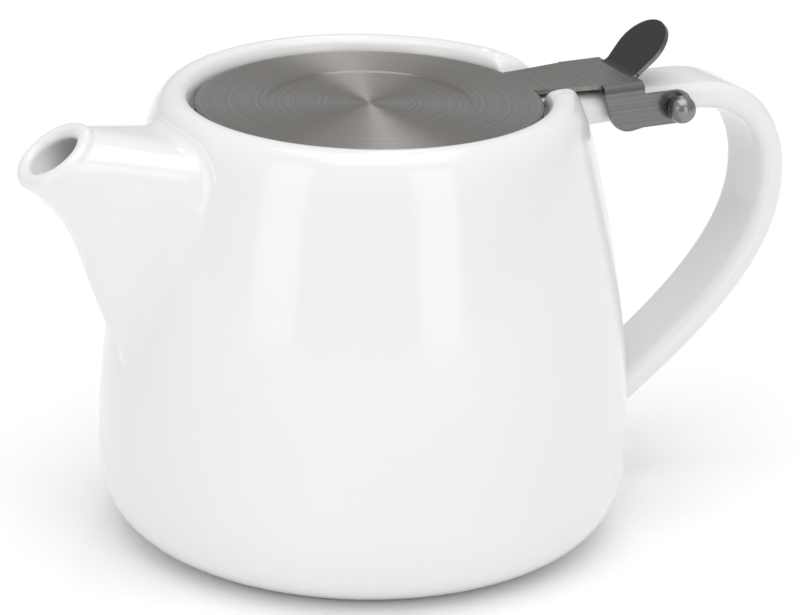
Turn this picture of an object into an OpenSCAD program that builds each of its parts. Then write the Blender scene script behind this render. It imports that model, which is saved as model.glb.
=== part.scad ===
// Porcelain teapot with a hinged steel lid and a lift-out infuser basket.
// Millimetres. The origin is on the pot's axis, on the plane it stands on.
// +X points to the handle, -X to the spout, +Z is up.

/* [Pot body] */
// Height of the rim's crest above the table
rim_h = 97.7; // [97:0.1:99]
// Widest outside radius of the body
body_r = 57.5; // [57:0.1:58]
// Height at which the body is widest
belly_z = 19; // [17:0.5:20]
// Outside radius where the side turns in to the rim
shoulder_r = 47.5; // [47:0.1:48]
// Height of that shoulder
shoulder_z = 88.9; // [88:0.1:89.5]
// Inward lean of the side at the shoulder, millimetres per millimetre of height
shoulder_lean = 0.259; // [0.25:0.001:0.27]
// Radius of the rim's crest
crest_r = 41.4; // [41:0.1:42]
// Outside radius of the foot ring
foot_r = 44.8; // [44:0.1:46]
// Thickness of the pot's wall
wall = 4; // [3.5:0.1:4.5]

/* [Gallery and notch] */
// Inside radius of the wall round the lid
gallery_r = 38.1; // [38:0.1:38.4]
// Height of the ledge that carries the infuser
ledge_z = 91.2; // [90.8:0.1:91.4]
// Inside radius of the ledge
ledge_r = 34.8; // [34.6:0.1:35.2]
// Half width of the notch that the lid's strap lies in
notch_half = 10.6; // [10.4:0.1:10.9]
// Height of the notch's floor
notch_z = 93.3; // [92.8:0.1:93.5]
// Rounding radius of the notch's two upper corners
notch_round = 3.6; // [3:0.1:4]

/* [Spout] */
// Distance of the mouth's centre in front of the pot's axis
mouth_x = 71.4; // [70:0.1:73]
// Height of the mouth's centre
mouth_z = 91.7; // [91:0.1:93]
// Tilt of the mouth's plane from the horizontal, degrees
mouth_tilt = 36; // [32:1:40]
// Middle radius of the round lip
lip_r = 7.4; // [7.2:0.1:8]
// Radius of the lip's own round section
lip_round = 1.8; // [1.7:0.1:2]
// Half width of the spout's root on the body
root_half = 17; // [16:0.5:18]
// Height of the top of the root
root_top = 93; // [92:0.1:93.5]
// Height of the pointed bottom of the root
root_bottom = 43; // [40:0.5:45]
// How far the keel bows in under the lip
keel_bow = 4.1; // [3:0.1:5]

/* [Handle] */
// Width of the handle strap
strap_w = 17.4; // [16:0.1:17.6]
// Thickness of the handle at its upper root
root_t = 7.2; // [7:0.1:7.6]
// Thickness of the handle at the outer bend and below
grip_t = 6; // [5.6:0.1:6.4]
// Furthest reach of the handle's middle line from the pot's axis
reach = 97; // [96:0.1:98]

/* [Hinge] */
// Distance of the pin from the pot's axis
pin_x = 69.2; // [68.8:0.1:69.4]
// Height of the pin
pin_z = 88.8; // [88.7:0.1:89]
// Radius of the pin
pin_r = 1.2; // [1.1:0.05:1.25]
// Running clearance of the pin in its bushes, on the radius
pin_fit = 0.05; // [0.03:0.01:0.1]
// Radius of the round ends of the pin
ball_r = 3.1; // [3:0.1:3.2]

/* [Lid] */
// Radius of the lid's disc
lid_r = 37.1; // [36.8:0.1:37.2]
// Height of the disc's top face
lid_z = 95.3; // [95.1:0.1:95.5]
// Thickness of the lid's sheet
sheet = 1; // [0.9:0.05:1.1]
// Radius of the sunk centre
sunk_r = 21.7; // [21:0.1:22.5]
// Depth of the sunk centre
sunk = 1; // [0.8:0.1:1.1]
// Depth of the turned-down edge below the top face
skirt = 2.8; // [2.6:0.1:2.9]
// Half width of the strap at the disc
strap_in = 8; // [7.8:0.1:8.4]
// Half width of the strap at the hinge, to the outside of the ears
ear_out = 11.2; // [11.1:0.1:11.4]
// Distance of the near edge of the ears from the pot's axis
ear_x = 51.2; // [50.8:0.1:51.6]
// Distance of the strap's end from the pot's axis
tab_x = 61; // [60.5:0.1:61.5]
// Distance of the start of the thumb tab's bend from the pot's axis
bend_x = 59.5; // [59:0.1:60]
// Inside radius of the thumb tab's bend
tab_bend_r = 3; // [2.5:0.1:3.5]
// Upward slope of the thumb tab, degrees
tab_slope = 45; // [42:1:50]
// Length of the flat part of the thumb tab
tab_len = 12.6; // [12:0.1:13.5]

/* [Infuser] */
// Outside radius of the basket's mesh wall
mesh_r = 33.2; // [32.8:0.1:33.4]
// Height of the underside of the basket
basket_z = 31; // [28:0.5:36]
// Thickness of the perforated sheet
mesh_t = 0.5; // [0.4:0.05:0.6]

/* [Hidden] */
$fn = 96;
eps = 0.01;
white = [0.96, 0.96, 0.95];
steel = [0.62, 0.62, 0.62];
foot_h = 1.2;
foot_in = 40;
floor_z = 5.5;
flange_t = 0.7;
ear_in = ear_out - sheet;
bush_r = 1.8;
bush_flange_r = 2.8;
ball_seat = 2;
ear_end_r = 3.7;
ear_drop = 0.5;
ear_corner_r = 5;
neck_half = 5.8;
paddle_r = 7.4;
bush_gap = 0.12;
bush_len = 5;
bend_r = 2;
ledge_t = 2.6;
lip_drop = 3.4;
inner_shoulder_z = 82.5;
collar_t = 0.6;
collar_h = 4;
cup_h = 3;
strap_corner_r = 2.1;

// A point at t on a Bezier curve of three or four control points
function bez(c, t) = len(c) == 3
    ? pow(1 - t, 2) * c[0] + 2 * t * (1 - t) * c[1] + t * t * c[2]
    : pow(1 - t, 3) * c[0] + 3 * t * pow(1 - t, 2) * c[1] + 3 * t * t * (1 - t) * c[2]
        + pow(t, 3) * c[3];
function curve(c, n, from = 0) = [for (i = [from:n]) bez(c, i / n)];

// Outside of the body: base corner, side, shoulder
base_curve = [[foot_r, 0], [foot_r + 6.2, 2], [body_r, 5.5], [body_r, belly_z]];
side_curve = [[body_r, belly_z],
    [body_r, shoulder_z - (body_r - shoulder_r) / shoulder_lean], [shoulder_r, shoulder_z]];
crest_curve = [[shoulder_r, shoulder_z],
    [shoulder_r - shoulder_lean * (rim_h - shoulder_z), rim_h], [crest_r, rim_h]];
lip_curve = [[crest_r, rim_h], [gallery_r + 0.4, rim_h], [gallery_r, rim_h - lip_drop]];
// Inside of the body
in_side = [[body_r - wall, belly_z], [body_r - wall, belly_z + 30],
    [shoulder_r - wall, inner_shoulder_z]];
in_base = [[body_r - wall, belly_z], [body_r - wall, floor_z + 1], [44, floor_z], [36, floor_z]];

function reversed(a) = [for (i = [len(a) - 1:-1:0]) a[i]];
outer_line = concat(curve(base_curve, 8), curve(side_curve, 10, 1), curve(crest_curve, 8, 1));
inner_line = concat(curve(lip_curve, 6, 1), [[gallery_r, ledge_z], [ledge_r, ledge_z],
    [ledge_r, ledge_z - ledge_t]], reversed(curve(in_side, 10)), curve(in_base, 6, 1));
body_line = concat([[foot_in, 0]], outer_line, inner_line, [[0, floor_z], [0, foot_h],
    [foot_in - 1, foot_h]]);

// Outside radius of the body at height z
function body_at(z, i = 0) = i >= len(outer_line) - 2 || outer_line[i + 1][1] >= z
    ? let (a = outer_line[i], b = outer_line[i + 1])
        a[0] + (b[0] - a[0]) * (z - a[1]) / (b[1] - a[1])
    : body_at(z, i + 1);

// A closed solid through rings of the same number of points
module loft(rings) {
    n = len(rings[0]);
    m = len(rings);
    polyhedron([for (r = rings) for (p = r) p], concat(
        [[for (i = [0:n - 1]) i]],
        [for (k = [0:m - 2]) for (i = [0:n - 1]) let (j = (i + 1) % n)
            each [[k * n + i, (k + 1) * n + i, (k + 1) * n + j], [k * n + i, (k + 1) * n + j, k * n + j]]],
        [[for (i = [n - 1:-1:0]) (m - 1) * n + i]]), convexity = 6);
}

// Spout: a round mouth blended to an upside-down rounded triangle on the body
ring_n = 40;
function mouth_ring(r) = [for (i = [0:ring_n - 1]) let (a = 360 * i / ring_n)
    [-mouth_x - r * cos(a) * cos(mouth_tilt), r * sin(a), mouth_z - r * cos(a) * sin(mouth_tilt)]];
// Root outline at angle a from the bottom point, scaled towards its middle by s, in [y, z]
function root_point(a, s) = let (
        mid = root_top - 11.5,
        half = root_half * s,
        top = (root_top - mid) * s,
        low = (mid - root_bottom) * s,
        c = cos(a))
    c > 0
        ? [half * sin(a) * (1 - 0.42 * pow(c, 1.2)), mid - low * pow(c, 1.25)]
        : [half * sign(sin(a)) * pow(abs(sin(a)), 0.72), mid + top * pow(-c, 0.72)];
function root_ring(s, inset) = [for (i = [0:ring_n - 1])
    let (p = root_point(360 * i / ring_n, s), r = body_at(p[1]) - inset)
    [-sqrt(max(r * r - p[0] * p[0], 1)), p[0], p[1]]];
function blend(a, b, t) = [for (i = [0:len(a) - 1]) a[i] * (1 - t) + b[i] * t];
// The keel bows in under the lip: most a quarter of the way down, nothing at either end
function bowed(ring, t, bow) = [for (i = [0:ring_n - 1])
    ring[i] + [bow * 9.48 * t * pow(1 - t, 3) * pow((1 + cos(360 * i / ring_n)) / 2, 2), 0, 0]];
steps = [0.04, 0.08, 0.13, 0.19, 0.27, 0.37, 0.48, 0.6, 0.73, 0.86, 1];

module spout_solid(mouth_r, scale, inset, bow, extra) {
    mouth = mouth_ring(mouth_r);
    root = root_ring(scale, inset);
    loft(concat(extra, [for (t = steps) bowed(blend(mouth, root, t), t, bow)]));
}
module channel() {
    mouth = mouth_ring(lip_r - lip_round);
    up = 6 * [-sin(mouth_tilt), 0, cos(mouth_tilt)];
    spout_solid(lip_r - lip_round, 0.6, wall + 3, 0.6 * keel_bow, [[for (p = mouth) p + up], mouth]);
}

// Handle: its middle line is three Bezier curves in the plane y = 0
top_line = [[45.5, 89.2], [58, 89.2], [68, 89.2], [76, 89.2]];
bend_line = [[76, 89.2], [89.5, 89.2], [reach, 81], [reach, 68.5]];
down_line = [[reach, 68.5], [reach, 53], [85.3, 39], [56.5, 19.3]];
spine = concat(curve(top_line, 6), curve(bend_line, 10, 1), curve(down_line, 14, 1));
function spine_t(i) = max(grip_t, root_t - (root_t - grip_t) * i / 6);
// Rounded rectangle of width w and thickness t as [across, out]
function strap_section(w, t, r) = [for (k = [0:3]) for (j = [0:4])
    let (a = 90 * k + 22.5 * j,
        cx = (k == 0 || k == 3 ? 1 : -1) * (w / 2 - r), cy = (k < 2 ? 1 : -1) * (t / 2 - r))
    [cx + r * cos(a), cy + r * sin(a)]];
function spine_dir(i) = let (a = spine[max(i - 1, 0)], b = spine[min(i + 1, len(spine) - 1)])
    (b - a) / norm(b - a);

module pot_solid() {
    rotate_extrude() polygon(body_line);
}

module notch() {
    // Straight slot with its two upper corners rounded outwards
    rotate([90, 0, 90]) translate([0, 0, 28]) linear_extrude(height = 28) difference() {
        translate([-notch_half - notch_round, notch_z])
            square([2 * (notch_half + notch_round), 8]);
        for (s = [-1, 1]) translate([s * (notch_half + notch_round), 0]) {
            translate([0, rim_h - notch_round]) circle(notch_round);
            translate([-notch_round, notch_z - 1])
                square([2 * notch_round, rim_h - notch_round - notch_z + 1]);
        }
    }
}

module pot_body() color(white) difference() {
    pot_solid();
    notch();
    channel();
}

module spout() color(white) difference() {
    inward = [sin(mouth_tilt), 0, -cos(mouth_tilt)];
    lip = [for (a = [-90:22.5:0]) [for (p = mouth_ring(lip_r + lip_round * cos(a)))
        p + lip_round * sin(a) * inward]];
    spout_solid(lip_r + lip_round, 1, 1.5, keel_bow, lip);
    channel();
}

module handle() color(white) difference() {
    loft([for (i = [0:len(spine) - 1])
        let (d = spine_dir(i), out = [-d[1], d[0]])
        [for (q = strap_section(strap_w, spine_t(i), strap_corner_r))
            [spine[i][0] + out[0] * q[1], q[0], spine[i][1] + out[1] * q[1]]]]);
    translate([pin_x, 0, pin_z]) rotate([90, 0, 0])
        cylinder(r = bush_r, h = strap_w + 4, center = true);
}

// Flanged bush pressed into one end of the handle's cross bore; side is -1 or 1
module bush(side) {
    flange = ear_in - bush_gap - strap_w / 2;
    translate([pin_x, 0, pin_z]) rotate([-90 * side, 0, 0]) difference() {
        union() {
            translate([0, 0, strap_w / 2 - bush_len]) cylinder(r = bush_r, h = bush_len + flange);
            translate([0, 0, strap_w / 2]) cylinder(r = bush_flange_r, h = flange);
        }
        cylinder(r = pin_r + pin_fit, h = 30);
    }
}
module hinge_bush_near() color("ivory") bush(-1);
module hinge_bush_far() color("ivory") bush(1);

// Outline of the strap's flat part, from disc to thumb tab, in [x, y]
module strap_plan(half_in, half_out) {
    polygon([[sunk_r + 4, -half_in], [lid_r, -half_in], [ear_x - 3, -half_out],
        [tab_x, -half_out], [tab_x, half_out], [ear_x - 3, half_out], [lid_r, half_in],
        [sunk_r + 4, half_in]]);
}
// Side view of an ear, in [x, z]
module ear_side() {
    low = pin_z - ear_end_r;
    hull() {
        translate([pin_x, pin_z]) circle(ear_end_r);
        translate([tab_x - 2, low]) square([2, 2 * ear_end_r]);
    }
    hull() {
        translate([ear_x, lid_z - bend_r - 0.5]) square([tab_x - ear_x, 0.5]);
        translate([ear_x + 1.4 + ear_corner_r, low - ear_drop + ear_corner_r]) circle(ear_corner_r);
        translate([tab_x - 1, low]) square([1, 1]);
    }
}
module lid_plate() color(steel) difference() {
    union() {
        // Disc with its turned-down edge and sunk centre
        rotate_extrude() polygon([[0, lid_z - sunk], [sunk_r, lid_z - sunk],
            [sunk_r + 0.4, lid_z], [lid_r - 0.6, lid_z], [lid_r, lid_z - 0.6],
            [lid_r, lid_z - skirt], [lid_r - sheet, lid_z - skirt],
            [lid_r - sheet, lid_z - sheet], [sunk_r + 0.9, lid_z - sheet],
            [sunk_r + 0.5, lid_z - sunk - sheet], [0, lid_z - sunk - sheet]]);
        translate([0, 0, lid_z - sheet]) linear_extrude(height = sheet)
            strap_plan(strap_in, ear_out - bend_r);
        // Ears, each joined to the strap by a rounded bend
        for (s = [-1, 1]) {
            translate([0, s > 0 ? ear_out : -ear_in, 0]) rotate([90, 0, 0])
                linear_extrude(height = sheet) ear_side();
            translate([ear_x, s * (ear_out - bend_r), lid_z - bend_r]) rotate([0, 90, 0])
                difference() {
                    cylinder(r = bend_r, h = tab_x - ear_x);
                    translate([0, 0, -1]) cylinder(r = bend_r - sheet, h = tab_x - ear_x + 2);
                    translate([0, -5, -1]) cube([5, 10, tab_x - ear_x + 2]);
                    translate([-5, s > 0 ? -5 : 0, -1]) cube([10, 5, tab_x - ear_x + 2]);
                }
        }
        // Thumb tab: a bend, then a flat paddle
        translate([bend_x, 0, lid_z + tab_bend_r]) {
            rotate([90, 0, 0]) translate([0, 0, -neck_half]) rotate([0, 0, -90])
                rotate_extrude(angle = tab_slope) translate([tab_bend_r, 0])
                    square([sheet, 2 * neck_half]);
            rotate([0, -tab_slope, 0]) translate([0, 0, -tab_bend_r - sheet])
                linear_extrude(height = sheet) hull() {
                    translate([-eps, -neck_half]) square([1, 2 * neck_half]);
                    translate([tab_len - paddle_r, 0]) circle(paddle_r);
                }
        }
    }
    for (s = [-1, 1]) translate([pin_x, s * ear_out, pin_z]) rotate([90, 0, 0])
        cylinder(r = pin_r, h = 3, center = true);
}

// Round end that stands on the outside of an ear, with a hole of radius bore; side is -1 or 1
module ball_end(side, bore = 0) {
    translate([pin_x, side * (ear_out + ball_seat), pin_z]) rotate([-90 * side, 0, 0])
        rotate_extrude() difference() {
            intersection() {
                circle(ball_r);
                translate([0, -ball_seat]) square([ball_r, 2 * ball_r]);
            }
            if (bore > 0) translate([0, -ball_seat - 1]) square([bore, 1 + ball_seat]);
        }
}
module hinge_pin() color(steel) union() {
    ball_end(-1);
    translate([pin_x, 0, pin_z]) rotate([90, 0, 0]) translate([0, 0, -ear_out - ball_seat])
        cylinder(r = pin_r, h = 2 * ear_out + ball_seat + 0.5);
}
module pin_nut() color(steel) ball_end(1, pin_r);

// Flat flange on the ledge with a rounded edge, and a collar that holds the wall
module basket_rim() color(steel) rotate_extrude()
    polygon([[mesh_r, ledge_z - collar_h], [mesh_r + collar_t, ledge_z - collar_h],
        [mesh_r + collar_t, ledge_z], [lid_r - 0.2, ledge_z], [lid_r + 0.1, ledge_z + flange_t / 2],
        [lid_r - 0.2, ledge_z + flange_t], [mesh_r, ledge_z + flange_t]]);
module basket_wall() color(steel) rotate_extrude()
    translate([mesh_r - mesh_t, basket_z + mesh_t])
        square([mesh_t, ledge_z + flange_t - basket_z - mesh_t]);
// Dished cap pressed over the bottom of the wall
module basket_floor() color(steel) rotate_extrude()
    polygon([[0, basket_z], [mesh_r + 0.3, basket_z], [mesh_r + 0.3, basket_z + cup_h],
        [mesh_r, basket_z + cup_h], [mesh_r, basket_z + mesh_t], [0, basket_z + mesh_t]]);

pot_body();
spout();
handle();
hinge_bush_near();
hinge_bush_far();
lid_plate();
hinge_pin();
pin_nut();
basket_rim();
basket_wall();
basket_floor();
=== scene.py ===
"""Porcelain teapot with a hinged steel lid and a lift-out infuser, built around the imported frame."""
import math

import bpy
import bmesh
from mathutils import Matrix, Vector


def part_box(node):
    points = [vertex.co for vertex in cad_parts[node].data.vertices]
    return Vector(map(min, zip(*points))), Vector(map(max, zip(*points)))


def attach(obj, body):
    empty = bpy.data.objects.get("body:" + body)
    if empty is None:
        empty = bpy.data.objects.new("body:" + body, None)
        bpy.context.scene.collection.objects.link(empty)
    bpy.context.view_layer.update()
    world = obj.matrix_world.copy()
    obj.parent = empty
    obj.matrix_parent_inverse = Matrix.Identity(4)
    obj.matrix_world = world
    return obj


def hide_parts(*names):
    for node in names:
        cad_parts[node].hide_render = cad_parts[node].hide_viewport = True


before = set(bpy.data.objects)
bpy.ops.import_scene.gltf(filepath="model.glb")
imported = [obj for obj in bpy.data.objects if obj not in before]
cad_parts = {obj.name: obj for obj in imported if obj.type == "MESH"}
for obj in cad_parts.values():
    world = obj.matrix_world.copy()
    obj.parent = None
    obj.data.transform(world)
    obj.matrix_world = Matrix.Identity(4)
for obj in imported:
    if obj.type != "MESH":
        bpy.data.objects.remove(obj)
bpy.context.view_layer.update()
MM = 0.001

# ---- Studio ------------------------------------------------------------------------------------
# A pale table that runs out of sight, under a bright even room. Two tall soft boxes, left and right
# of the camera, give the upright reflections that a glazed pot shows. A wide one above softens the
# shadows, and a narrow strip behind the pot draws the bright wedge on the turned lid.
scene = bpy.context.scene
scene.view_settings.view_transform = "Standard"


def linear(hex_colour):
    """An sRGB hex colour as linear red, green, blue and alpha."""
    parts = [int(hex_colour[i:i + 2], 16) / 255 for i in (1, 3, 5)]
    return [p / 12.92 if p <= 0.04045 else ((p + 0.055) / 1.055) ** 2.4 for p in parts] + [1]


def add_node(tree, kind, settings=None, links=None):
    """A new node with its settings and inputs; an input is a value or another node's output."""
    node = tree.nodes.new(kind)
    for name, value in (settings or {}).items():
        setattr(node, name, value)
    for name, value in (links or {}).items():
        if isinstance(value, bpy.types.NodeSocket):
            tree.links.new(value, node.inputs[name])
        else:
            node.inputs[name].default_value = value
    return node


def new_material(name):
    """An empty node material: its tree and its object coordinates."""
    material = bpy.data.materials.new(name)
    material.use_nodes = True
    tree = material.node_tree
    tree.nodes.clear()
    place = add_node(tree, "ShaderNodeTexCoord").outputs["Object"]
    return material, tree, place


def surface(tree, inputs):
    """The one shader of a material, with its inputs, joined to the output."""
    shader = add_node(tree, "ShaderNodeBsdfPrincipled", links=inputs)
    add_node(tree, "ShaderNodeOutputMaterial", links={"Surface": shader.outputs["BSDF"]})


def select_none():
    """Object mode, with nothing selected."""
    if bpy.context.mode != "OBJECT":
        bpy.ops.object.mode_set(mode="OBJECT")
    bpy.ops.object.select_all(action="DESELECT")


def select_only(piece):
    """Object mode, with one piece selected and active."""
    select_none()
    piece.select_set(True)
    bpy.context.view_layer.objects.active = piece


# Camera: 20 degrees above the table, turned from the front towards the spout, with a long lens
camera_distance = 0.855
aim = Vector((0, 0, 0.0475))
turn = math.radians(-26.5)
rise = math.radians(20.4)
roll = math.radians(1.19)
away = Vector((math.sin(turn) * math.cos(rise), -math.cos(turn) * math.cos(rise), math.sin(rise)))
select_none()
bpy.ops.object.camera_add(location=aim + camera_distance * away)
camera = bpy.context.object
look = Matrix.Rotation(turn, 4, "Z") @ Matrix.Rotation(math.pi / 2 - rise, 4, "X")
camera.rotation_euler = (look @ Matrix.Rotation(roll, 4, "Z")).to_euler()
camera.data.lens = 178.07
camera.data.sensor_width = 36
camera.data.shift_x = 0.0439
camera.data.shift_y = 0.0055
camera.data.clip_start = 0.01
scene.camera = camera

table_paint, tree, place = new_material("matt_white_board")
grain = add_node(tree, "ShaderNodeTexNoise", links={"Vector": place, "Scale": 60, "Detail": 3})
bump = add_node(tree, "ShaderNodeBump", links={"Height": grain.outputs["Fac"], "Strength": 0.02,
                                               "Distance": 0.0005})
surface(tree, {"Base Color": linear("#fdfdfd"), "Roughness": 0.75, "Specular IOR Level": 0.2,
               "Normal": bump.outputs["Normal"]})
bpy.ops.mesh.primitive_plane_add(size=12)
table = bpy.context.object
table.name = "table"
table.data.materials.append(table_paint)

world = bpy.data.worlds.new("even_room")
scene.world = world
world.use_nodes = True
tree = world.node_tree
tree.nodes.clear()
sky = add_node(tree, "ShaderNodeTexCoord").outputs["Generated"]
height = add_node(tree, "ShaderNodeSeparateXYZ", links={"Vector": sky}).outputs["Z"]
ramp = add_node(tree, "ShaderNodeValToRGB", links={"Fac": height})
ramp.color_ramp.elements[0].color = (0.55, 0.55, 0.55, 1)
ramp.color_ramp.elements[1].color = (0.80, 0.80, 0.80, 1)
glow = add_node(tree, "ShaderNodeBackground", links={"Color": ramp.outputs["Color"],
                                                     "Strength": 0.9})
add_node(tree, "ShaderNodeOutputWorld", links={"Surface": glow.outputs["Background"]})


def soft_box(name, side_angle, elevation, distance, width, height, power):
    """A soft box that faces the pot, side_angle degrees to the right of the camera. Its distance
    and size are in metres and its power is in watts."""
    turned = turn + math.radians(side_angle)
    up = math.radians(elevation)
    spot = distance * Vector((math.sin(turned) * math.cos(up), -math.cos(turned) * math.cos(up),
                              math.sin(up)))
    select_none()
    bpy.ops.object.light_add(type="AREA", location=aim + spot)
    lamp = bpy.context.object
    lamp.name = name
    lamp.rotation_euler = spot.to_track_quat("Z", "Y").to_euler()
    lamp.data.shape = "RECTANGLE"
    lamp.data.size = width
    lamp.data.size_y = height
    lamp.data.energy = power


soft_box("soft_box_left", -41, 12, 1.3, 0.50, 1.25, 2.5)
soft_box("soft_box_right", 34, 12, 1.3, 0.46, 1.25, 2.4)
soft_box("soft_box_above", 20, 80, 3.0, 3.0, 3.0, 44)
soft_box("strip_behind", 176, 50, 1.5, 0.10, 0.5, 0.6)


# ---- Pot body ----------------------------------------------------------------------------------
# The porcelain body, slip-cast and turned in one piece: a foot ring, a leaning side, a round rim,
# and inside it the ledge that carries the infuser. The rim dips on the handle's side, where the
# lid's strap passes out. It is glazed white all over but for the ground ring that it stands on.
def on_curve(points, t):
    """The point at t, from 0 to 1, of the Bezier curve with the given control points."""
    layer = [Vector(p) for p in points]
    while len(layer) > 1:
        layer = [a.lerp(b, t) for a, b in zip(layer, layer[1:])]
    return layer[0]


def curve(points, count, first=0):
    """Points along a Bezier curve, from number first to number count."""
    return [on_curve(points, i / count) for i in range(first, count + 1)]


# Radii and heights in millimetres, as all sizes from here on
body_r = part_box("pot_body")[1].y / MM
rim_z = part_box("pot_body")[1].z / MM
belly_z = 19
shoulder_r, shoulder_z, shoulder_lean = 47.5, 88.9, 0.259
crest_r, gallery_r = 41.4, 38.1
ledge_z, ledge_r, ledge_t = 91.2, 34.8, 2.6
foot_r, foot_in, foot_h = 44.8, 40, 1.2
wall, floor_z = 4, 5.5

base_curve = [(foot_r, 0), (foot_r + 6.2, 2), (body_r, 5.5), (body_r, belly_z)]
side_curve = [(body_r, belly_z), (body_r, shoulder_z - (body_r - shoulder_r) / shoulder_lean),
              (shoulder_r, shoulder_z)]
crest_curve = [(shoulder_r, shoulder_z),
               (shoulder_r - shoulder_lean * (rim_z - shoulder_z), rim_z), (crest_r, rim_z)]
lip_curve = [(crest_r, rim_z), (gallery_r + 0.4, rim_z), (gallery_r, rim_z - 3.4)]
inside_base = [(36, floor_z), (44, floor_z), (body_r - wall, floor_z + 1), (body_r - wall, belly_z)]
inside_side = [(body_r - wall, belly_z), (body_r - wall, belly_z + 30), (shoulder_r - wall, 82.5)]
outer_line = curve(base_curve, 16) + curve(side_curve, 30, 1) + curve(crest_curve, 16, 1)


def body_radius(z):
    """Outside radius of the body at height z, in millimetres."""
    for a, b in zip(outer_line, outer_line[1:]):
        if b.y >= z:
            return a.x + (b.x - a.x) * (z - a.y) / (b.y - a.y)
    return crest_r


def draw(name, line):
    """A polyline in the plane y = 0, drawn point by point from (r, z) in millimetres."""
    select_none()
    bpy.ops.mesh.primitive_plane_add(size=MM)
    piece = bpy.context.object
    piece.name = piece.data.name = name
    bpy.ops.object.mode_set(mode="EDIT")
    bpy.ops.mesh.select_mode(type="VERT")
    bpy.ops.mesh.merge(type="CENTER")
    here = Vector((0, 0))
    for point in line:
        step = (Vector(point) - here) * MM
        if point is line[0]:
            bpy.ops.transform.translate(value=(step.x, 0, step.y))
        else:
            bpy.ops.mesh.extrude_vertices_move(
                TRANSFORM_OT_translate={"value": (step.x, 0, step.y)})
        here = Vector(point)
    bpy.ops.mesh.select_all(action="SELECT")
    return piece


def close_up(piece, smooth_angle=40):
    """Merges doubled points, turns all faces outwards and shades by angle."""
    if bpy.context.mode != "EDIT_MESH":
        bpy.ops.object.mode_set(mode="EDIT")
    bpy.ops.mesh.select_all(action="SELECT")
    bpy.ops.mesh.remove_doubles(threshold=0.002 * MM)
    bpy.ops.mesh.normals_make_consistent(inside=False)
    select_only(piece)
    bpy.ops.object.shade_smooth_by_angle(angle=math.radians(smooth_angle))
    return piece


def turned(name, line, steps):
    """A solid of revolution: the drawn line spun round the Z axis."""
    piece = draw(name, line)
    bpy.ops.mesh.spin(steps=steps, angle=math.tau, center=(0, 0, 0), axis=(0, 0, 1))
    return close_up(piece)


body_line = (
    [(0, foot_h), (foot_in - 3, foot_h)] + curve([(foot_in - 2, foot_h), (foot_in - 0.6, foot_h - 0.1),
                                                 (foot_in, 0.3), (foot_in + 0.6, 0)], 5)
    + curve([(foot_in + 0.6, 0), (foot_r - 0.6, 0)], 3, 1) + outer_line[1:]
    + curve(lip_curve, 12, 1) + curve([(gallery_r, rim_z - 3.6), (gallery_r, ledge_z + 0.5)], 3)
    + curve([(gallery_r, ledge_z + 0.4), (gallery_r, ledge_z), (gallery_r - 0.4, ledge_z)], 4)
    + curve([(ledge_r + 0.6, ledge_z), (ledge_r, ledge_z), (ledge_r, ledge_z - 0.6)], 4)
    + curve([(ledge_r, ledge_z - ledge_t + 0.6), (ledge_r, ledge_z - ledge_t),
             (ledge_r + 0.8, ledge_z - ledge_t - 0.3)], 4)
    + curve(inside_side, 24)[::-1] + curve(inside_base, 12)[::-1][1:] + [(18, floor_z), (0, floor_z)])
pot = turned("porcelain_body", body_line, steps=360)

# The dip in the rim: its floor, its half width, the length over which its corners round off, and the
# round that the glaze leaves where the dip meets the rim
notch_z, notch_half, notch_round, glaze_round = 93.3, 9.9, 7.0, 1.4


def dip(y):
    """Height of the rim across the dip, at a distance y from the middle. It leaves the rim softly,
    falls steeply beside the strap, and rises clear of the rim further out."""
    inside = notch_half + notch_round - abs(y)
    if inside <= 0:
        return rim_z - 0.9 * inside
    if inside >= notch_round:
        return notch_z
    return notch_z + (rim_z - notch_z) * (1 - (inside / notch_round) ** 2.6) ** 0.7


def soft_low(a, b, radius):
    """The lower of two heights, with a round change from one to the other."""
    share = min(max(0.5 + 0.5 * (b - a) / radius, 0), 1)
    return a * share + b * (1 - share) - radius * share * (1 - share)


for vertex in pot.data.vertices:
    x, y, z = vertex.co / MM
    if x > 20 and z > ledge_z + 0.6 and math.hypot(x, y) > gallery_r - 0.5:
        vertex.co.z = soft_low(z, dip(y), glaze_round) * MM

# Fired porcelain under a clear glossy glaze: a cold white with a mirror skin that runs a little
# uneven, so reflections waver. The glaze pools over about 30 mm and ripples over about 9 mm.
glaze, tree, place = new_material("white_glazed_porcelain")
pool = add_node(tree, "ShaderNodeTexNoise", links={"Vector": place, "Scale": 1 / (30 * MM),
                                                   "Detail": 1.0})
tint = add_node(tree, "ShaderNodeMix", {"data_type": "RGBA"}, {
    "Factor": pool.outputs["Fac"], "A": linear("#e8e8e7"), "B": linear("#ebebeb")})
peel = add_node(tree, "ShaderNodeTexNoise", links={"Vector": place, "Scale": 1 / (9 * MM),
                                                   "Detail": 1.0})
skin = add_node(tree, "ShaderNodeBump", links={"Height": peel.outputs["Fac"], "Strength": 0.12,
                                               "Distance": 0.12 * MM})
surface(tree, {"Base Color": tint.outputs["Result"], "Roughness": 0.15, "IOR": 1.5,
               "Coat Weight": 0.25, "Coat Roughness": 0.08, "Coat IOR": 1.5,
               "Normal": skin.outputs["Normal"]})

# Bare fired clay on the ground foot: matt and a little sandy, with a grit of about half a millimetre
bisque, tree, place = new_material("unglazed_ground_foot")
sand = add_node(tree, "ShaderNodeTexNoise", links={"Vector": place, "Scale": 1 / (0.5 * MM),
                                                   "Detail": 4})
shade = add_node(tree, "ShaderNodeMix", {"data_type": "RGBA"}, {
    "Factor": sand.outputs["Fac"], "A": linear("#e9e6df"), "B": linear("#d9d5cc")})
rough = add_node(tree, "ShaderNodeBump", links={"Height": sand.outputs["Fac"], "Strength": 0.5,
                                                "Distance": 0.05 * MM})
surface(tree, {"Base Color": shade.outputs["Result"], "Roughness": 0.8,
               "Normal": rough.outputs["Normal"]})

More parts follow.
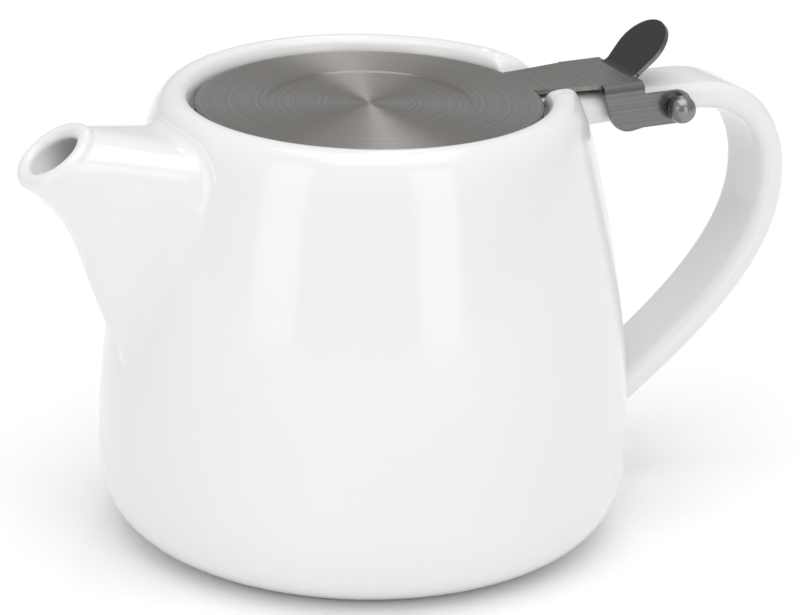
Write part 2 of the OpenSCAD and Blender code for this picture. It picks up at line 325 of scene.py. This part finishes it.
pot.data.materials.append(glaze)
pot.data.materials.append(bisque)
for face in pot.data.polygons:
    if face.center.z < 0.12 * MM:
        face.material_index = 1
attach(pot, "pot")
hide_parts("pot_body")


# ---- Spout -------------------------------------------------------------------------------------
# Cast porcelain spout, luted to the body before firing: a round mouth with a rolled lip, a crowned
# top with a firm edge on each side, a keel that runs down to a point, and an open channel. The slip
# at the joint is sponged to a small hollow round.
mouth_x, mouth_z = 71.4, 91.7
tilt = math.radians(36)
lip_r, lip_round = 7.4, 1.8
root_half, root_top, root_middle, root_bottom = 17, 93, 81.5, 43
keel_bow = 4.1
spout_points, wall_steps, lip_steps, channel_steps = 120, 36, 16, 20


def body_skin(y, z, side, out=0):
    """The point of the body's outside at (y, z), moved out by a distance along X."""
    return Vector((side * (math.sqrt(max(body_radius(z) ** 2 - y * y, 1)) + out), y, z))


def outside(point, side):
    """How far a point stands out of the body, along X."""
    return side * (point.x - body_skin(point.y, point.z, side).x)


def mouth_point(a, radius):
    """A point of the tilted round mouth; a is 0 at its lowest point."""
    return Vector((-mouth_x - radius * math.cos(a) * math.cos(tilt), radius * math.sin(a),
                   mouth_z - radius * math.cos(a) * math.sin(tilt)))


def root_point(a, share, inset):
    """A point of the root's outline, scaled towards its middle, sunk into the body. Its lower half
    narrows to a point, and its upper half is a crown with two firm corners."""
    half, c, s = root_half * share, math.cos(a), math.sin(a)
    if c > 0:
        y = half * s * (1 - 0.42 * c ** 1.2)
        z = root_middle - (root_middle - root_bottom) * share * c ** 1.25
    else:
        y = half * math.copysign(abs(s) ** 0.6, s)
        z = root_middle + (root_top - root_middle) * share * (-c) ** 0.6
    return body_skin(y, z, -1, -inset)


def spout_wall(a, t, radius, share, inset, bow):
    """A point on the way from the mouth (t = 0) to the root (t = 1). The keel bows in, most of all
    a quarter of the way down, where 9.48 makes its factor 1."""
    point = mouth_point(a, radius).lerp(root_point(a, share, inset), t)
    point.x += bow * 9.48 * t * (1 - t) ** 3 * ((1 + math.cos(a)) / 2) ** 2
    return point


def meeting(path, side, outer, inner, depth=0):
    """The parameter at which a path stands out of the body by no more than -depth."""
    for _ in range(30):
        middle = (outer + inner) / 2
        if outside(path(middle), side) > -depth:
            outer = middle
        else:
            inner = middle
    return inner


def hollow_round(walls, joints, side, spread):
    """Rings that round off a joint: from the wall to the body, along the outline's own normals.
    spread(normal) is how far the round reaches over the body there. The last ring lies a hair
    above the body's skin."""
    hair, steps = 0.015, 8
    count = len(joints)
    rings = [[] for _ in range(steps + 1)]
    for i, joint in enumerate(joints):
        before, after = joints[i - 1], joints[(i + 1) % count]
        normal = Vector((after.z - before.z, before.y - after.y)).normalized()
        reach = spread(normal)
        end = (joint.y + normal.x * reach, joint.z + normal.y * reach)
        start = walls[i]
        stand = outside(start, side)
        for k in range(steps + 1):
            t = k / steps
            u, v, w = (1 - t) ** 2, 2 * t * (1 - t), t * t
            y = u * start.y + v * joint.y + w * end[0]
            z = u * start.z + v * joint.z + w * end[1]
            rings[k].append(body_skin(y, z, side, u * stand + hair))
    return rings


def lofted(name, rings, ends=True):
    """A skin through closed rings of the same number of points, in millimetres."""
    columns, rows = len(rings[0]), len(rings) - 1
    select_none()
    bpy.ops.mesh.primitive_grid_add(x_subdivisions=columns, y_subdivisions=rows, size=2)
    piece = bpy.context.object
    piece.name = piece.data.name = name
    for vertex in piece.data.vertices:
        i = round((vertex.co.x + 1) / 2 * columns) % columns
        k = round((vertex.co.y + 1) / 2 * rows)
        vertex.co = rings[k][i] * MM
    bpy.ops.object.mode_set(mode="EDIT")
    bpy.ops.mesh.select_all(action="SELECT")
    bpy.ops.mesh.remove_doubles(threshold=0.002 * MM)
    if ends:
        bpy.ops.mesh.select_all(action="DESELECT")
        bpy.ops.mesh.select_mode(type="EDGE")
        bpy.ops.mesh.select_non_manifold()
        bpy.ops.mesh.edge_face_add()
    return piece


angles = [math.tau * i / spout_points for i in range(spout_points)]
outer_wall = dict(radius=lip_r + lip_round, share=1, inset=1.5, bow=keel_bow)
channel_wall = dict(radius=lip_r - lip_round, share=0.6, inset=wall + 3, bow=0.6 * keel_bow)
# Along each line, the wall ends where it meets the body, and the round starts 3.5 mm before that
round_length = 3.5
ends_at, starts_at = [], []
for a in angles:
    hit = meeting(lambda t: spout_wall(a, t, **outer_wall), -1, 0.3, 1)
    length = (mouth_point(a, lip_r) - root_point(a, 1, 0)).length
    ends_at.append(hit)
    starts_at.append(hit - round_length / length)
joints = [spout_wall(a, t, **outer_wall) for a, t in zip(angles, ends_at)]
walls = [spout_wall(a, t, **outer_wall) for a, t in zip(angles, starts_at)]
# The round is smaller along the top, where the rim is close
spout_rings = hollow_round(walls, joints, -1, lambda n: 3.2 - 1.2 * max(n.y, 0))[::-1]
seat = [body_skin(p.y, p.z, -1, -2) for p in spout_rings[0]]
spout_rings.insert(0, seat)
for k in range(wall_steps - 1, -1, -1):
    spout_rings.append([spout_wall(a, t * k / wall_steps, **outer_wall)
                        for a, t in zip(angles, starts_at)])
inward = Vector((math.sin(tilt), 0, -math.cos(tilt)))
for k in range(1, lip_steps + 1):
    rolled = -math.pi * k / lip_steps
    spout_rings.append([mouth_point(a, lip_r + lip_round * math.cos(rolled))
                        + lip_round * math.sin(rolled) * inward for a in angles])
channel_end = [meeting(lambda t: spout_wall(a, t, **channel_wall), -1, 0.2, 1, 2.5) for a in angles]
for k in range(1, channel_steps + 1):
    spout_rings.append([spout_wall(a, t * k / channel_steps, **channel_wall)
                        for a, t in zip(angles, channel_end)])
spout_rings.append(seat)
spout = close_up(lofted("porcelain_spout", spout_rings, ends=False), 60)

# The channel's hole through the body's wall
hole_rings = [[spout_wall(a, t, **channel_wall) for a in angles] for t in (0.6, 0.8, 1)]
hole_rings.append([p + Vector((6, 0, 0)) for p in hole_rings[-1]])
cutter = close_up(lofted("channel_cutter", hole_rings))
cut = pot.modifiers.new("channel", "BOOLEAN")
cut.operation = "DIFFERENCE"
cut.object = cutter
select_none()
bpy.context.view_layer.objects.active = pot
bpy.ops.object.modifier_apply(modifier="channel")
bpy.data.objects.remove(cutter)

spout.data.materials.append(glaze)
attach(spout, "pot")
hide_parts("spout")

# ---- Handle ------------------------------------------------------------------------------------
# Cast porcelain strap handle, luted to the body: level at the top, where the hinge sits, round the
# outer bend, and back to the foot of the body in one long curve. It is a flat strap with its four
# edges rounded.
strap_w, root_t, grip_t, edge_r = 17.4, 7.2, 6.0, 2.7
root_round = 2.6
top_curve = [(45.5, 89.2), (58, 89.2), (68, 89.2), (76, 89.2)]
bend_curve = [(76, 89.2), (89.5, 89.2), (97, 81), (97, 68.5)]
down_curve = [(97, 68.5), (97, 53), (85.3, 39), (56.5, 19.3)]


def spine(u):
    """The handle's middle line in (x, z), u from 0 at the upper root to 3 at the lower one."""
    part = min(int(u), 2)
    return on_curve((top_curve, bend_curve, down_curve)[part], u - part)


# The strap's section: four quarter rounds, each as its corner's signs and a unit direction
strap_section = []
for k in range(4):
    for j in range(9):
        a = math.pi / 2 * (k + j / 8)
        strap_section.append((1 if k in (0, 3) else -1, 1 if k < 2 else -1, math.cos(a), math.sin(a)))


def handle_point(corner, u):
    """A point of the handle's skin at u, for one point of the strap's section."""
    sx, sy, cx, cy = corner
    thick = max(grip_t, root_t - (root_t - grip_t) * u)
    across = sx * (strap_w / 2 - edge_r) + edge_r * cx
    out = sy * (thick / 2 - edge_r) + edge_r * cy
    a, b = spine(max(u - 0.01, 0)), spine(min(u + 0.01, 3))
    along = (b - a).normalized()
    here = spine(u)
    return Vector((here.x - along.y * out, across, here.y + along.x * out))


def handle_root(u_in, u_out, reach_up, spread):
    """Rings of one root's hollow round, from reach_up along the handle to the body, and a last ring
    sunk in the body. The joint lies between u_in, inside the body, and u_out."""
    joints, walls = [], []
    for corner in strap_section:
        hit = meeting(lambda u: handle_point(corner, u), 1, u_out, u_in)
        step = 0.01 if u_out > u_in else -0.01
        speed = (handle_point(corner, hit + step) - handle_point(corner, hit)).length / 0.01
        joints.append(handle_point(corner, hit))
        walls.append(handle_point(corner, hit + math.copysign(reach_up / speed, step)))
    rings = hollow_round(walls, joints, 1, spread)
    return rings + [[body_skin(p.y, p.z, 1, -2) for p in rings[-1]]]


# Above, the round stays under the dip in the rim; below and at the sides it is full
upper = handle_root(0, 0.6, 3, lambda n: root_round if n.y < 0.2 else 0.3)
lower = handle_root(3, 2.5, 3, lambda n: root_round)
rings_per_curve = 96
clear_of_upper, clear_of_lower = 0.26, 2.805
handle_rings = upper[::-1]
for i in range(3 * rings_per_curve):
    u = i / rings_per_curve
    if clear_of_upper < u < clear_of_lower:
        handle_rings.append([handle_point(corner, u) for corner in strap_section])
handle_rings += lower
handle = close_up(lofted("porcelain_handle", handle_rings), 60)
handle.data.materials.append(glaze)
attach(handle, "pot")
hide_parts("handle")

# ---- Hinge bushes ------------------------------------------------------------------------------
# Two flanged bushes pressed into the ends of the handle's cross bore, so that the pin doesn't turn
# on bare porcelain. Moulded natural nylon: milky, faintly yellow, with a dull even skin.
nylon, tree, place = new_material("moulded_natural_nylon")
cloud = add_node(tree, "ShaderNodeTexNoise", links={"Vector": place, "Scale": 1 / (2 * MM),
                                                    "Detail": 2})
milk = add_node(tree, "ShaderNodeMix", {"data_type": "RGBA"}, {
    "Factor": cloud.outputs["Fac"], "A": linear("#e6e1d3"), "B": linear("#dcd6c6")})
surface(tree, {"Base Color": milk.outputs["Result"], "Roughness": 0.45, "IOR": 1.53})
for name in ("hinge_bush_near", "hinge_bush_far"):
    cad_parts[name].data.materials.clear()
    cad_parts[name].data.materials.append(nylon)

# ---- Lid plate ---------------------------------------------------------------------------------
# One pressing of 1 mm stainless sheet: a disc with a sunk centre and a turned-down edge, a strap
# that leaves it over the dip in the rim, an ear bent down on each side of the handle, and a thumb
# tab bent up at the end. It is modelled as its top skin and then given the sheet's thickness. The
# step to the sunk centre is shallow, so that it shows as a thin line.
pin_x, pin_z = 69.2, 88.8
lid_z, sheet = 95.3, 1.0
lid_r, edge_round = 37.1, 0.8
sunk_r, sunk = 21.7, 0.4
skirt_z = 92.5
disc_steps = 160
strap_half_steps = 5
strap_half = 9.2
bend_r = 2.0
ear_x, tab_x, tab_bend_x = 51.2, 61.0, 59.5
tab_bend_r, tab_slope, tab_len = 3.0, math.radians(45), 12.6
paddle_r = 7.4
neck_share = 6.5 / strap_half

flat_r = lid_r - edge_round
lid_line = ([(0, lid_z - sunk), (8, lid_z - sunk), (16, lid_z - sunk), (sunk_r - 0.9, lid_z - sunk)]
            + curve([(sunk_r - 0.3, lid_z - sunk), (sunk_r - 0.1, lid_z - sunk),
                     (sunk_r, lid_z - sunk / 2)], 4)
            + curve([(sunk_r, lid_z - sunk / 2), (sunk_r + 0.1, lid_z), (sunk_r + 0.3, lid_z)], 4, 1)
            + [(sunk_r + 1, lid_z), (27, lid_z), (32, lid_z), (flat_r - 0.4, lid_z), (flat_r, lid_z)])
lid = draw("lid_pressing", lid_line)
bpy.ops.mesh.spin(steps=disc_steps, angle=math.tau, center=(0, 0, 0), axis=(0, 0, 1))
bpy.ops.mesh.select_all(action="SELECT")
bpy.ops.mesh.remove_doubles(threshold=0.002 * MM)
bpy.ops.mesh.normals_make_consistent(inside=False)


def select_where(kind, test):
    """Selects the points, edges or faces of the mesh in hand that pass a test, and nothing else."""
    bpy.ops.mesh.select_mode(type=kind)
    bpy.ops.mesh.select_all(action="DESELECT")
    mesh = bmesh.from_edit_mesh(bpy.context.object.data)
    for part in {"VERT": mesh.verts, "EDGE": mesh.edges, "FACE": mesh.faces}[kind]:
        if test(part):
            part.select_set(True)
    bmesh.update_edit_mesh(bpy.context.object.data)


def middle_of(edge):
    """The middle of an edge, in millimetres."""
    return (edge.verts[0].co + edge.verts[1].co) / 2 / MM


def select_edges(test):
    """Selects the open edges of the mesh in hand whose middle passes a test."""
    select_where("EDGE", lambda edge: edge.is_boundary and test(middle_of(edge)))


def extrude_to(order, places):
    """Extrudes the selected edges and sets the new points, sorted by order, on their places."""
    bpy.ops.mesh.extrude_edges_move(TRANSFORM_OT_translate={"value": (0, 0, 0)})
    mesh = bmesh.from_edit_mesh(bpy.context.object.data)
    fresh = sorted((v for v in mesh.verts if v.select), key=order)
    for vertex, spot in zip(fresh, places):
        vertex.co = Vector(spot) * MM
    bmesh.update_edit_mesh(bpy.context.object.data)


def face_from(edge_test, outline):
    """A flat face between some open edges and an outline drawn from their first end to the last."""
    select_where("VERT", lambda point: (point.co / MM - Vector(outline[0])).length < 0.01)
    for a, b in zip(outline, outline[1:]):
        step = (Vector(b) - Vector(a)) * MM
        bpy.ops.mesh.extrude_vertices_move(TRANSFORM_OT_translate={"value": step})
    bpy.ops.mesh.select_all(action="SELECT")
    bpy.ops.mesh.remove_doubles(threshold=0.01 * MM)
    select_where("EDGE", lambda edge: edge.is_wire
                 or (edge.is_boundary and edge_test(middle_of(edge))))
    bpy.ops.mesh.edge_face_add()


# The turned-down edge, all round but for the strap
half_angle = math.tau * strap_half_steps / disc_steps
select_edges(lambda p: abs(math.atan2(p.y, p.x)) > half_angle)
rim_angles = [half_angle + (math.tau - 2 * half_angle) * i / (disc_steps - 2 * strap_half_steps)
              for i in range(disc_steps - 2 * strap_half_steps + 1)]
edge_rings = [(flat_r + edge_round * math.sin(math.pi / 12 * k),
               lid_z - edge_round * (1 - math.cos(math.pi / 12 * k))) for k in range(1, 7)]
for r, z in edge_rings + [(lid_r, skirt_z + 0.6), (lid_r, skirt_z)]:
    extrude_to(lambda v: math.atan2(v.co.y, v.co.x) % math.tau,
               [(r * math.cos(a), r * math.sin(a), z) for a in rim_angles])

# The strap, widening to the ears
shares = [-1, -0.86, -neck_share, -0.4, -0.2, 0, 0.2, 0.4, neck_share, 0.86, 1]
select_edges(lambda p: abs(math.atan2(p.y, p.x)) < half_angle and math.hypot(p.x, p.y) < flat_r)
start_half = flat_r * math.sin(half_angle)
for x in (40, 44, 48, ear_x, 55.5, tab_bend_x):
    half = start_half + (strap_half - start_half) * min((x - flat_r) / (ear_x - flat_r), 1)
    extrude_to(lambda v: v.co.y, [(x, half * s, lid_z) for s in shares])

# Shoulders of the strap, outside the thumb tab's neck
neck = strap_half * neck_share
for side in (-1, 1):
    select_edges(lambda p: p.x > tab_bend_x - 0.1 and side * p.y > neck + 0.1 and p.z > lid_z - 0.1)
    extrude_to(lambda v: side * v.co.y, [(tab_x, side * strap_half * s, lid_z)
                                         for s in shares[-3:]])

# Ears: a round bend down, then the cheek that the pin passes through
ear_y = strap_half + bend_r
ear_corner, ear_corner_r = (57.6, 89.6), 5
arm_end_r = 3.7
arm_top, arm_low = pin_z + arm_end_r, pin_z - arm_end_r


def arc(centre, radius, start, end, count):
    """Points round an arc in degrees, in the ear's plane."""
    return [(centre[0] + radius * math.cos(math.radians(start + (end - start) * i / count)),
             centre[1] + radius * math.sin(math.radians(start + (end - start) * i / count)))
            for i in range(count + 1)]


for side in (-1, 1):
    select_edges(lambda p: side * p.y > strap_half - 0.05 and ear_x - 0.1 < p.x < tab_x
                 and p.z > lid_z - 0.1)
    for k in range(1, 8):
        bent = math.pi / 14 * k
        extrude_to(lambda v: v.co.x, [
            (x, side * (strap_half + bend_r * math.sin(bent)), lid_z - bend_r * (1 - math.cos(bent)))
            for x in (ear_x, 55.5, tab_bend_x, tab_x)])
    cheek = ([(ear_x, lid_z - bend_r)] + arc(ear_corner, ear_corner_r, 199, 279.5, 12)
             + [(tab_x, arm_low)] + arc((pin_x, pin_z), arm_end_r, -90, 90, 24)
             + [(tab_x + 0.6, arm_top), (tab_x + 0.18, arm_top + 0.18), (tab_x, arm_top + 0.6)]
             + [(tab_x, lid_z - bend_r)])
    face_from(lambda p: side * p.y > ear_y - 0.05 and p.z > lid_z - bend_r - 0.01,
              [(x, side * ear_y, z) for x, z in cheek])

# Thumb tab: bent up, then a flat paddle with a round end
select_edges(lambda p: p.x > tab_bend_x - 0.1 and abs(p.y) < neck - 0.1 and p.z > lid_z - 0.1
             and p.z < lid_z + 0.1)
middle_shares = shares[2:-2]
for k in range(1, 9):
    bent = tab_slope * k / 8
    extrude_to(lambda v: v.co.y, [
        (tab_bend_x + tab_bend_r * math.sin(bent), strap_half * s,
         lid_z + tab_bend_r * (1 - math.cos(bent))) for s in middle_shares])
tab_start = Vector((tab_bend_x + tab_bend_r * math.sin(tab_slope), 0,
                    lid_z + tab_bend_r * (1 - math.cos(tab_slope))))
tab_along = Vector((math.cos(tab_slope), 0, math.sin(tab_slope)))
tab_normal = Vector((-math.sin(tab_slope), 0, math.cos(tab_slope)))
paddle = [tab_start + Vector((0, -neck, 0))]
for along, across in arc((tab_len - paddle_r, 0), paddle_r, -104, 104, 40):
    paddle.append(tab_start + tab_along * along + Vector((0, across, 0)))
paddle.append(tab_start + Vector((0, neck, 0)))
face_from(lambda p: abs(p.y) < neck - 0.1 and p.z > tab_start.z - 0.05 and p.x > tab_bend_x, paddle)

bpy.ops.mesh.select_all(action="SELECT")
bpy.ops.mesh.normals_make_consistent(inside=False)
mesh = bmesh.from_edit_mesh(lid.data)
top_face = min(mesh.faces, key=lambda f: f.calc_center_median().to_2d().length)
if top_face.normal.z < 0:
    bpy.ops.mesh.flip_normals()
bpy.ops.object.mode_set(mode="OBJECT")


def finish_with(piece, kind, settings):
    """Adds a modifier with its settings and applies it."""
    modifier = piece.modifiers.new(kind.lower(), kind)
    for name, value in settings.items():
        setattr(modifier, name, value)
    select_only(piece)
    bpy.ops.object.modifier_apply(modifier=modifier.name)


finish_with(lid, "SOLIDIFY", {"thickness": sheet * MM, "offset": -1, "use_even_offset": True})
finish_with(lid, "BEVEL", {"width": 0.2 * MM, "segments": 2, "limit_method": "ANGLE",
                           "angle_limit": math.radians(50)})
select_only(lid)
bpy.ops.object.shade_smooth_by_angle(angle=math.radians(50))
finish_with(lid, "WEIGHTED_NORMAL", {"keep_sharp": True})


def steel(name, colours, line_mm, roughness, anisotropy, pattern, tangent_of=None, depth=0.3):
    """Stainless steel: fine lines along one direction, a little uneven in shade and gloss.
    pattern gives, from the tree and the coordinates, how far across the lines a point lies, and
    tangent_of gives the direction that gloss is drawn out in."""
    material, tree, place = new_material(name)
    across = pattern(tree, place)
    lines = add_node(tree, "ShaderNodeTexNoise", {"noise_dimensions": "1D"},
                     {"W": across, "Scale": 1 / (line_mm * MM), "Detail": 4, "Roughness": 0.7})
    wide = add_node(tree, "ShaderNodeTexNoise", {"noise_dimensions": "1D"},
                    {"W": across, "Scale": 1 / (0.7 * MM), "Detail": 2})
    both = add_node(tree, "ShaderNodeMath", {"operation": "MULTIPLY"}, {
        0: lines.outputs["Fac"], 1: wide.outputs["Fac"]})
    spread = add_node(tree, "ShaderNodeMapRange", links={
        "Value": both.outputs["Value"], "From Min": 0.1, "From Max": 0.42})
    colour = add_node(tree, "ShaderNodeMix", {"data_type": "RGBA"}, {
        "Factor": spread.outputs["Result"], "A": linear(colours[0]), "B": linear(colours[1])})
    gloss = add_node(tree, "ShaderNodeMapRange", links={
        "Value": lines.outputs["Fac"], "To Min": roughness - 0.05, "To Max": roughness + 0.05})
    groove = add_node(tree, "ShaderNodeBump", links={
        "Height": lines.outputs["Fac"], "Strength": depth, "Distance": 0.02 * MM})
    inputs = {"Base Color": colour.outputs["Result"], "Metallic": 1.0,
              "Roughness": gloss.outputs["Result"], "Anisotropic": anisotropy,
              "Normal": groove.outputs["Normal"]}
    if tangent_of:
        inputs["Tangent"] = tangent_of(tree, place)
    surface(tree, inputs)
    return material


def from_axis(tree, place):
    """Distance from the disc's axis."""
    flat = add_node(tree, "ShaderNodeVectorMath", {"operation": "MULTIPLY"}, {0: place, 1: (1, 1, 0)})
    return add_node(tree, "ShaderNodeVectorMath", {"operation": "LENGTH"},
                    {0: flat.outputs["Vector"]}).outputs["Value"]


def across_lines(tree, place):
    """Direction away from the disc's axis, across the turned lines, which gloss is drawn out in."""
    flat = add_node(tree, "ShaderNodeVectorMath", {"operation": "MULTIPLY"}, {0: place, 1: (1, 1, 0)})
    unit = add_node(tree, "ShaderNodeVectorMath", {"operation": "NORMALIZE"},
                    {0: flat.outputs["Vector"]})
    return add_node(tree, "ShaderNodeVectorTransform",
                    {"vector_type": "VECTOR", "convert_from": "OBJECT", "convert_to": "WORLD"},
                    {"Vector": unit.outputs["Vector"]}).outputs["Vector"]


def along_axis(number):
    """Distance along X, Y or Z, which the lines lie across."""
    def pattern(tree, place):
        return add_node(tree, "ShaderNodeSeparateXYZ", links={"Vector": place}).outputs[number]
    return pattern


# Turned stainless sheet: concentric tool lines, drawn 0.3 mm apart so that they show, which pull
# the light into a bright wedge on each side of the centre
turned_steel = steel("turned_stainless", ("#83807d", "#9d9995"), 0.3, 0.32, 0.96, from_axis,
                     tangent_of=across_lines)
# Polished stainless on the ears and the tab's edge, with the fine long scratches of a belt; its grey
# is painted darker than the turned disc, as painted shade for the upright ears
ear_steel_painted_shade = steel("polished_stainless_ear_painted_shade", ("#727272", "#828282"), 0.25, 0.24, 0.3,
                  along_axis(2), depth=0.12)
# Satin stainless on the thumb tab, painted an even dark grey: painted shade that stands for the dark
# surroundings which the raised tab mirrors
tab_steel_painted_shade = steel("satin_stainless_tab_painted_shade", ("#454443", "#504f4e"), 0.2, 0.38, 0.2,
                  along_axis(1), depth=0.12)
for finish in (turned_steel, ear_steel_painted_shade, tab_steel_painted_shade):
    lid.data.materials.append(finish)
# The ears and the tab's edges take the ear steel and the tab's flat faces the tab steel: both are
# painted shade on faces of the one steel sheet
for face in lid.data.polygons:
    spot = face.center / MM
    if abs(spot.y) > strap_half + 0.05 and spot.x > ear_x - 0.3:
        face.material_index = 1
    elif spot.x > tab_bend_x and spot.z > lid_z + 0.02:
        edge_on = abs(face.normal.dot(tab_normal)) < 0.75
        face.material_index = 1 if edge_on and spot.x > tab_start.x + 0.2 else 2
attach(lid, "lid")
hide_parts("lid_plate")

# ---- Hinge pin ---------------------------------------------------------------------------------
# A stainless cross pin with a round end, and its screwed round end on the far side. Both ends are
# polished bright, so they mirror the room, with the faint swirls that a mop leaves.
bright, tree, place = new_material("bright_polished_stainless")
swirl = add_node(tree, "ShaderNodeTexNoise", links={"Vector": place, "Scale": 1 / (0.6 * MM),
                                                    "Detail": 3})
mop = add_node(tree, "ShaderNodeMapRange", links={"Value": swirl.outputs["Fac"], "To Min": 0.22,
                                                  "To Max": 0.32})
metal = add_node(tree, "ShaderNodeMix", {"data_type": "RGBA"}, {
    "Factor": swirl.outputs["Fac"], "A": linear("#858483"), "B": linear("#959493")})
surface(tree, {"Base Color": metal.outputs["Result"], "Metallic": 1.0,
               "Roughness": mop.outputs["Result"]})
for name in ("hinge_pin", "pin_nut"):
    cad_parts[name].data.materials.clear()
    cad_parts[name].data.materials.append(bright)

# ---- Infuser basket ----------------------------------------------------------------------------
# A flanged steel rim that rests on the ledge, a wall of perforated sheet rolled to a tube and seam
# welded, and a perforated bottom in a dished ring. The holes are 1.2 mm at a pitch of 2 mm.
wall_box, floor_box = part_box("basket_wall"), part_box("basket_floor")
mesh_r = wall_box[1].x / MM
mesh_low, mesh_high = wall_box[0].z / MM, wall_box[1].z / MM
mesh_t, pitch = 0.5, 2.0
basket_steel = steel("perforated_stainless", ("#98958f", "#aaa7a2"), 0.3, 0.3, 0.2,
                     along_axis(2), depth=0.1)


def perforated(name, columns, rows, test, place_at):
    """A perforated sheet: a grid of square cells, each that passes the test with an eight-sided
    hole, and every point then taken to its place, in millimetres, from its place in cells."""
    select_none()
    bpy.ops.mesh.primitive_grid_add(x_subdivisions=columns, y_subdivisions=rows, size=2)
    piece = bpy.context.object
    piece.name = piece.data.name = name
    for vertex in piece.data.vertices:
        vertex.co = Vector(((vertex.co.x + 1) / 2 * columns, (vertex.co.y + 1) / 2 * rows, 0))
    bpy.ops.object.mode_set(mode="EDIT")
    select_where("FACE", lambda face: test(face.calc_center_median()))
    bpy.ops.mesh.inset(thickness=0.2, use_individual=True)
    bpy.ops.mesh.bevel(offset=0.18, affect="VERTICES", segments=1)
    select_where("FACE", lambda face: len(face.verts) == 8 and test(face.calc_center_median()))
    bpy.ops.mesh.delete(type="FACE")
    bpy.ops.object.mode_set(mode="OBJECT")
    for vertex in piece.data.vertices:
        vertex.co = Vector(place_at(vertex.co)) * MM
    bpy.ops.object.mode_set(mode="EDIT")
    bpy.ops.mesh.select_all(action="SELECT")
    bpy.ops.mesh.remove_doubles(threshold=0.01 * MM)
    bpy.ops.object.mode_set(mode="OBJECT")
    return piece


wall_columns = round(math.tau * mesh_r / pitch)
wall_rows = round((mesh_high - mesh_low) / pitch)
basket_wall = perforated(
    "basket_wall_sheet", wall_columns, wall_rows,
    lambda c: 2 < c.y < wall_rows - 3 and c.x > 1,
    lambda c: (mesh_r * math.cos(math.tau * c.x / wall_columns),
               mesh_r * math.sin(math.tau * c.x / wall_columns),
               mesh_low + (mesh_high - mesh_low) * c.y / wall_rows))
finish_with(basket_wall, "SOLIDIFY", {"thickness": mesh_t * MM, "offset": -1})

# The bottom: holes out to hole_r, the sheet out to sheet_r, and a dished ring that overlaps it from
# ring_in and turns up round the wall from dish_r on
floor_cells = 30
half_cells = floor_cells / 2
hole_r, sheet_r, ring_in, dish_r = 26, 29.5, 27.5, 31.5
floor_low = floor_box[0].z / MM
floor_high = floor_low + mesh_t + 0.1
cup_r = mesh_r + 0.3
basket_floor = perforated(
    "basket_floor_sheet", floor_cells, floor_cells,
    lambda c: math.hypot(c.x - half_cells, c.y - half_cells) * pitch < hole_r,
    lambda c: ((c.x - half_cells) * pitch, (c.y - half_cells) * pitch, floor_low + mesh_t))
bpy.ops.object.mode_set(mode="EDIT")
select_where("VERT", lambda point: point.co.to_2d().length / MM > sheet_r)
bpy.ops.mesh.delete(type="VERT")
bpy.ops.object.mode_set(mode="OBJECT")
finish_with(basket_floor, "SOLIDIFY", {"thickness": (mesh_t - 0.1) * MM, "offset": -1})
ring_line = ([(ring_in, floor_low), (dish_r - 0.5, floor_low)]
             + curve([(dish_r, floor_low), (cup_r, floor_low), (cup_r, floor_low + 1.6)], 6)
             + [(cup_r, floor_low + 2.9), (mesh_r + 0.02, floor_low + 3)]
             + curve([(mesh_r + 0.02, floor_low + 1.9), (mesh_r, floor_high),
                      (dish_r, floor_high)], 6)
             + [(ring_in, floor_high), (ring_in, floor_low)])
floor_ring = turned("basket_floor_ring", ring_line, steps=96)
for piece in (basket_wall, basket_floor, floor_ring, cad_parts["basket_rim"]):
    piece.data.materials.clear()
    piece.data.materials.append(basket_steel)
for piece in (basket_wall, basket_floor, floor_ring):
    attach(piece, "infuser")
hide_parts("basket_wall")
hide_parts("basket_floor")
